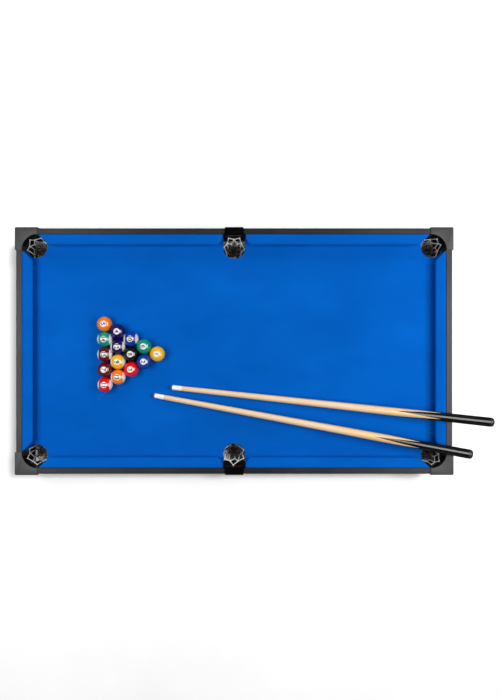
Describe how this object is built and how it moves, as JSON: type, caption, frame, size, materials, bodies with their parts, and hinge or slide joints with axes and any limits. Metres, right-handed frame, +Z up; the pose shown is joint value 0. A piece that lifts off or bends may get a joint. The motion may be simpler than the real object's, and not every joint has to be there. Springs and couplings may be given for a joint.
{
  "type": "tabletop mini pool table",
  "caption": "Low six-pocket pool table with blue cloth, cushions, corner caps, pocket liners, nets, racked numbered balls and two cues lying across the rail.",
  "frame": {"origin": "on the floor, at the middle of the whole set's footprint; the table's own centre is 52.3 mm to the -X side of it, because the cues' butts overhang the +X end", "axes": "+X along the table's length, from the racked balls' end to the end that the cues' butts overhang; +Y across the table; +Z up"},
  "size_m": [1.3297, 0.6916, 0.1698],
  "materials": {
    "cloth": "blue napped billiard cloth, matt",
    "board_core": "raw medium-density fibreboard",
    "laminate": "fibreboard wrapped in dark charcoal film, satin, fine grain",
    "cap_plastic": "grey moulded plastic, fine texture",
    "pocket_plastic": "black moulded plastic, semi-gloss",
    "net_cord": "knotted off-white twine",
    "foot": "black plastic pad on a threaded stem",
    "cue_tip": "pressed leather",
    "cue_ferrule": "white plastic",
    "cue_shaft": "clear lacquered pale hardwood with black splice points",
    "cue_butt": "black gloss lacquer",
    "cue_bumper": "black rubber, matt",
    "ball_1": "glossy cast resin, yellow",
    "ball_2": "glossy cast resin, blue",
    "ball_3": "glossy cast resin, red",
    "ball_4": "glossy cast resin, purple",
    "ball_5": "glossy cast resin, orange",
    "ball_6": "glossy cast resin, green",
    "ball_7": "glossy cast resin, maroon",
    "ball_8": "glossy cast resin, black",
    "ball_9": "glossy cast resin, white with a yellow stripe",
    "ball_10": "glossy cast resin, white with a blue stripe",
    "ball_11": "glossy cast resin, white with a red stripe",
    "ball_12": "glossy cast resin, white with a purple stripe",
    "ball_13": "glossy cast resin, white with a orange stripe",
    "ball_14": "glossy cast resin, white with a green stripe",
    "ball_15": "glossy cast resin, white with a maroon stripe"
  },
  "bodies": {
    "table": {"bed_panel": "board_core", "bed_cloth": "cloth", "cross_beam_left": "board_core", "cross_beam_right": "board_core", "frame_board_front": "laminate", "frame_board_right": "laminate", "frame_board_back": "laminate", "frame_board_left": "laminate", "cushion_front_left": "cloth", "cushion_front_right": "cloth", "cushion_right": "cloth", "cushion_back_right": "cloth", "cushion_back_left": "cloth", "cushion_left": "cloth", "corner_cap_front_left": "cap_plastic", "corner_cap_front_right": "cap_plastic", "corner_cap_back_left": "cap_plastic", "corner_cap_back_right": "cap_plastic", "pocket_liner_front_left": "pocket_plastic", "pocket_liner_front_right": "pocket_plastic", "pocket_liner_back_left": "pocket_plastic", "pocket_liner_back_right": "pocket_plastic", "pocket_liner_front_middle": "pocket_plastic", "pocket_liner_back_middle": "pocket_plastic", "pocket_net_front_left": "net_cord", "pocket_net_front_right": "net_cord", "pocket_net_back_left": "net_cord", "pocket_net_back_right": "net_cord", "pocket_net_front_middle": "net_cord", "pocket_net_back_middle": "net_cord"},
    "ball_1": {"ball_1": "ball_1"},
    "ball_2": {"ball_2": "ball_2"},
    "ball_3": {"ball_3": "ball_3"},
    "ball_4": {"ball_4": "ball_4"},
    "ball_5": {"ball_5": "ball_5"},
    "ball_6": {"ball_6": "ball_6"},
    "ball_7": {"ball_7": "ball_7"},
    "ball_8": {"ball_8": "ball_8"},
    "ball_9": {"ball_9": "ball_9"},
    "ball_10": {"ball_10": "ball_10"},
    "ball_11": {"ball_11": "ball_11"},
    "ball_12": {"ball_12": "ball_12"},
    "ball_13": {"ball_13": "ball_13"},
    "ball_14": {"ball_14": "ball_14"},
    "ball_15": {"ball_15": "ball_15"},
    "cue_1": {"cue_1_shaft": "cue_shaft", "cue_1_butt": "cue_butt", "cue_1_ferrule": "cue_ferrule", "cue_1_tip": "cue_tip", "cue_1_bumper": "cue_bumper"},
    "cue_2": {"cue_2_shaft": "cue_shaft", "cue_2_butt": "cue_butt", "cue_2_ferrule": "cue_ferrule", "cue_2_tip": "cue_tip", "cue_2_bumper": "cue_bumper"},
    "levelling_foot_front_left": {"levelling_foot_front_left": "foot"},
    "levelling_foot_front_right": {"levelling_foot_front_right": "foot"},
    "levelling_foot_back_left": {"levelling_foot_back_left": "foot"},
    "levelling_foot_back_right": {"levelling_foot_back_right": "foot"}
  },
  "joints": [
    {"name": "ball_1_lift", "type": "slide", "parent": "table", "child": "ball_1", "axis": [0, 0, 1], "range_m": [0, 0.12]},
    {"name": "ball_2_lift", "type": "slide", "parent": "table", "child": "ball_2", "axis": [0, 0, 1], "range_m": [0, 0.12]},
    {"name": "ball_3_lift", "type": "slide", "parent": "table", "child": "ball_3", "axis": [0, 0, 1], "range_m": [0, 0.12]},
    {"name": "ball_4_lift", "type": "slide", "parent": "table", "child": "ball_4", "axis": [0, 0, 1], "range_m": [0, 0.12]},
    {"name": "ball_5_lift", "type": "slide", "parent": "table", "child": "ball_5", "axis": [0, 0, 1], "range_m": [0, 0.12]},
    {"name": "ball_6_lift", "type": "slide", "parent": "table", "child": "ball_6", "axis": [0, 0, 1], "range_m": [0, 0.12]},
    {"name": "ball_7_lift", "type": "slide", "parent": "table", "child": "ball_7", "axis": [0, 0, 1], "range_m": [0, 0.12]},
    {"name": "ball_8_lift", "type": "slide", "parent": "table", "child": "ball_8", "axis": [0, 0, 1], "range_m": [0, 0.12]},
    {"name": "ball_9_lift", "type": "slide", "parent": "table", "child": "ball_9", "axis": [0, 0, 1], "range_m": [0, 0.12]},
    {"name": "ball_10_lift", "type": "slide", "parent": "table", "child": "ball_10", "axis": [0, 0, 1], "range_m": [0, 0.12]},
    {"name": "ball_11_lift", "type": "slide", "parent": "table", "child": "ball_11", "axis": [0, 0, 1], "range_m": [0, 0.12]},
    {"name": "ball_12_lift", "type": "slide", "parent": "table", "child": "ball_12", "axis": [0, 0, 1], "range_m": [0, 0.12]},
    {"name": "ball_13_lift", "type": "slide", "parent": "table", "child": "ball_13", "axis": [0, 0, 1], "range_m": [0, 0.12]},
    {"name": "ball_14_lift", "type": "slide", "parent": "table", "child": "ball_14", "axis": [0, 0, 1], "range_m": [0, 0.12]},
    {"name": "ball_15_lift", "type": "slide", "parent": "table", "child": "ball_15", "axis": [0, 0, 1], "range_m": [0, 0.12]},
    {"name": "cue_1_draw", "type": "slide", "parent": "table", "child": "cue_1", "axis": [0.9931, -0.1048, 0.0531], "range_m": [0, 0.25]},
    {"name": "cue_2_draw", "type": "slide", "parent": "table", "child": "cue_2", "axis": [0.9826, -0.1781, 0.0532], "range_m": [0, 0.25]},
    {"name": "levelling_foot_front_left_screw", "type": "slide", "parent": "table", "child": "levelling_foot_front_left", "axis": [0, 0, -1], "range_m": [0, 0.01]},
    {"name": "levelling_foot_front_right_screw", "type": "slide", "parent": "table", "child": "levelling_foot_front_right", "axis": [0, 0, -1], "range_m": [0, 0.01]},
    {"name": "levelling_foot_back_left_screw", "type": "slide", "parent": "table", "child": "levelling_foot_back_left", "axis": [0, 0, -1], "range_m": [0, 0.01]},
    {"name": "levelling_foot_back_right_screw", "type": "slide", "parent": "table", "child": "levelling_foot_back_right", "axis": [0, 0, -1], "range_m": [0, 0.01]}
  ]
}
